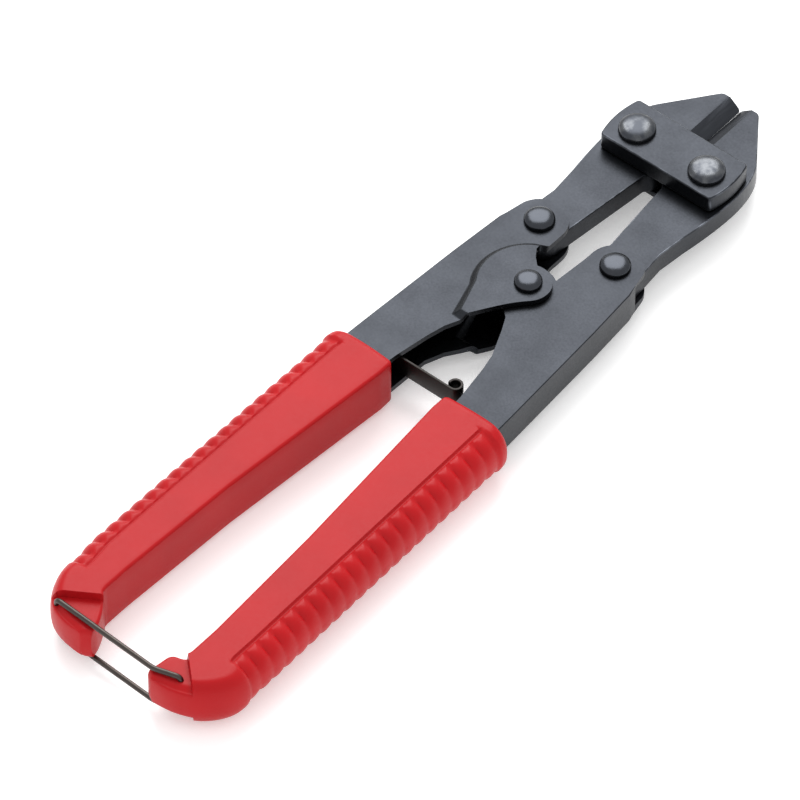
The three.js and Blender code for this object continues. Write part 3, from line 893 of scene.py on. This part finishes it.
def rounded_path(corners, radius, steps=6):
    """A polyline through the corners with each inner corner turned into a curve."""
    path = [Vector(corners[0])]
    for before, corner, after in zip(corners, corners[1:], corners[2:]):
        before, corner, after = Vector(before), Vector(corner), Vector(after)
        start = corner + (before - corner).normalized() * radius
        end = corner + (after - corner).normalized() * radius
        path.append(start)
        path += [Vector(point) for point in curve(start, corner, end, steps=steps)]
    path.append(Vector(corners[-1]))
    return path


def swept_round(path, radius, sides=16):
    """A round bar along a path: a ring at each point, joined by bridging."""
    bm = bmesh.new()
    rings = []
    side = None
    for i, point in enumerate(path):
        ahead = (path[min(i + 1, len(path) - 1)] - path[max(i - 1, 0)]).normalized()
        side = (ahead.orthogonal() if side is None else side - ahead * side.dot(ahead)).normalized()
        turned = Matrix((side, ahead.cross(side), ahead)).transposed().to_4x4()
        made = bmesh.ops.create_circle(bm, cap_ends=i in (0, len(path) - 1), segments=sides,
                                       radius=radius, matrix=Matrix.Translation(point) @ turned)
        ring = set(made["verts"])
        rings.append([edge for edge in bm.edges
                      if edge.verts[0] in ring and edge.verts[1] in ring])
    for first, second in zip(rings, rings[1:]):
        bmesh.ops.bridge_loops(bm, edges=first + second)
    bmesh.ops.recalc_face_normals(bm, faces=bm.faces)
    return bm


class BuildLatch(Operator):
    """A wire bail whose legs drop into the right tail and whose end hooks into the left one"""
    bl_idname = "bolt_cutters.latch"
    bl_label = "Latch wire"

    def execute(self, context):
        sizes, looks = context.scene.cutter_wire, context.scene.cutter_looks
        radius = sizes.wire_radius / MM
        run = WIRE_Z - radius
        upper = [(*LATCH_PIVOT, LEG_END), (*LATCH_PIVOT, run), (*WIRE_BEND, run), (*WIRE_HOOK, run)]
        corners = upper + [(x, y, -z) for x, y, z in reversed(upper)]
        bm = swept_round(rounded_path(corners, WIRE_CORNER), radius)
        placed("latch_bail", bm, [drawn_wire_steel(looks)], "latch",
               ["latch_wire"], smooth=60)
        return {"FINISHED"}


class BuildSpring(Operator):
    """A strip on edge that runs from inside the left handle to a curl at the right one"""
    bl_idname = "bolt_cutters.spring"
    bl_label = "Return spring"

    def execute(self, context):
        sizes, looks = context.scene.cutter_wire, context.scene.cutter_looks
        half = sizes.spring_half / MM
        path = arc(*SPRING_EYE, -0.35, 1.03, 14)
        path += arc(*SPRING_BEND, 1.0, 1.5, 10)
        path += arc(*SPRING_CURL, -0.5, 1.1, 18)
        bm = bmesh.new()
        verts = [bm.verts.new((x, y, -half)) for x, y in path]
        edges = [bm.edges.new(pair) for pair in zip(verts, verts[1:])]
        made = bmesh.ops.extrude_edge_only(bm, edges=edges)
        moved(bm, made["geom"], z=2 * half)
        piece = placed("return_strip", bm, [tempered_spring_steel(looks)], "spring",
                       ["return_spring"], smooth=40)
        wall = piece.modifiers.new("wall", "SOLIDIFY")
        wall.thickness = sizes.spring_thickness
        wall.offset = 0
        rim = piece.modifiers.new("rim", "BEVEL")
        rim.width = SPRING_RIM * MM
        rim.segments = 2
        rim.limit_method = "ANGLE"
        rim.angle_limit = math.radians(60)
        return {"FINISHED"}


# ---- Stage -------------------------------------------------------------------------------------
VIEW_CENTRE = (-2.52, -55.17, 0)         # in the tool's axes
VIEW_WIDTH = 800 / 4.7894 * MM           # how much the camera takes in at that point
LAMP_DISTANCE = 0.9
LAMP_SIZE = 0.65
FLOOR_HALF = 3


def aimed(thing, place, target):
    thing.location = place
    thing.rotation_euler = (target - place).to_track_quat("-Z", "Y").to_euler()
    bpy.context.scene.collection.objects.link(thing)
    return thing


def area_lamp(name, place, target, size, power):
    lamp = bpy.data.lights.new(name, "AREA")
    lamp.shape = "SQUARE"
    lamp.size = size
    lamp.energy = power
    return aimed(bpy.data.objects.new(name, lamp), place, target)


class BuildStage(Operator):
    """Pale floor, one large softbox behind, a soft room and the camera"""
    bl_idname = "bolt_cutters.stage"
    bl_label = "Stage"

    def execute(self, context):
        scene, stage = context.scene, context.scene.cutter_stage
        turn, rise = stage.azimuth, stage.elevation
        target = TOOL @ Vector(VIEW_CENTRE)
        facing = Vector((-math.sin(turn) * math.cos(rise), math.cos(turn) * math.cos(rise),
                         -math.sin(rise)))
        lens = bpy.data.cameras.new("camera")
        lens.sensor_width = 36
        lens.lens = lens.sensor_width * stage.distance / VIEW_WIDTH
        lens.clip_end = 20
        scene.camera = aimed(bpy.data.objects.new("camera", lens),
                             target - facing * stage.distance, target)
        bm = bmesh.new()
        bmesh.ops.create_grid(bm, x_segments=1, y_segments=1, size=FLOOR_HALF)
        mesh = bpy.data.meshes.new("floor")
        bm.to_mesh(mesh)
        bm.free()
        mesh.materials.append(backlit_paper(scene.cutter_looks))
        floor = bpy.data.objects.new("floor", mesh)
        scene.collection.objects.link(floor)
        mirror = Vector((facing.x, facing.y, -facing.z))
        area_lamp("softbox", target + mirror * LAMP_DISTANCE, target, LAMP_SIZE, stage.softbox)
        world = bpy.data.worlds.new("room")
        world.use_nodes = True
        room = world.node_tree.nodes["Background"]
        room.inputs["Color"].default_value = (1, 1, 1, 1)
        room.inputs["Strength"].default_value = stage.fill
        scene.world = world
        scene.view_settings.view_transform = "Standard"
        return {"FINISHED"}


class BOLTCUTTERS_PT_build(Panel):
    """Build steps and their sizes"""
    bl_label = "Bolt Cutters"
    bl_space_type = "VIEW_3D"
    bl_region_type = "UI"
    bl_category = "Bolt Cutters"

    def draw(self, context):
        for step in STEPS:
            self.layout.operator(step.bl_idname)
        for name, _ in SETTINGS:
            box = self.layout.box()
            settings = getattr(context.scene, name)
            for key in settings.__annotations__:
                box.prop(settings, key)


STEPS = (BuildStraps, BuildJaws, BuildRivets, BuildHandles, BuildGrips, BuildLatch, BuildSpring,
         BuildStage)
SETTINGS = (("cutter_steel", SteelSizes), ("cutter_grips", GripSizes), ("cutter_wire", WireSizes),
            ("cutter_looks", Looks), ("cutter_stage", StageSizes))


def register():
    for name, group in SETTINGS:
        bpy.utils.register_class(group)
        setattr(bpy.types.Scene, name, PointerProperty(type=group))
    for item in (*STEPS, BOLTCUTTERS_PT_build):
        bpy.utils.register_class(item)


def unregister():
    for item in reversed((*STEPS, BOLTCUTTERS_PT_build)):
        bpy.utils.unregister_class(item)
    for name, group in reversed(SETTINGS):
        delattr(bpy.types.Scene, name)
        bpy.utils.unregister_class(group)


def main():
    register()
    for step in STEPS:
        group, name = step.bl_idname.split(".")
        getattr(getattr(bpy.ops, group), name)()


if __name__ == "__main__":
    main()
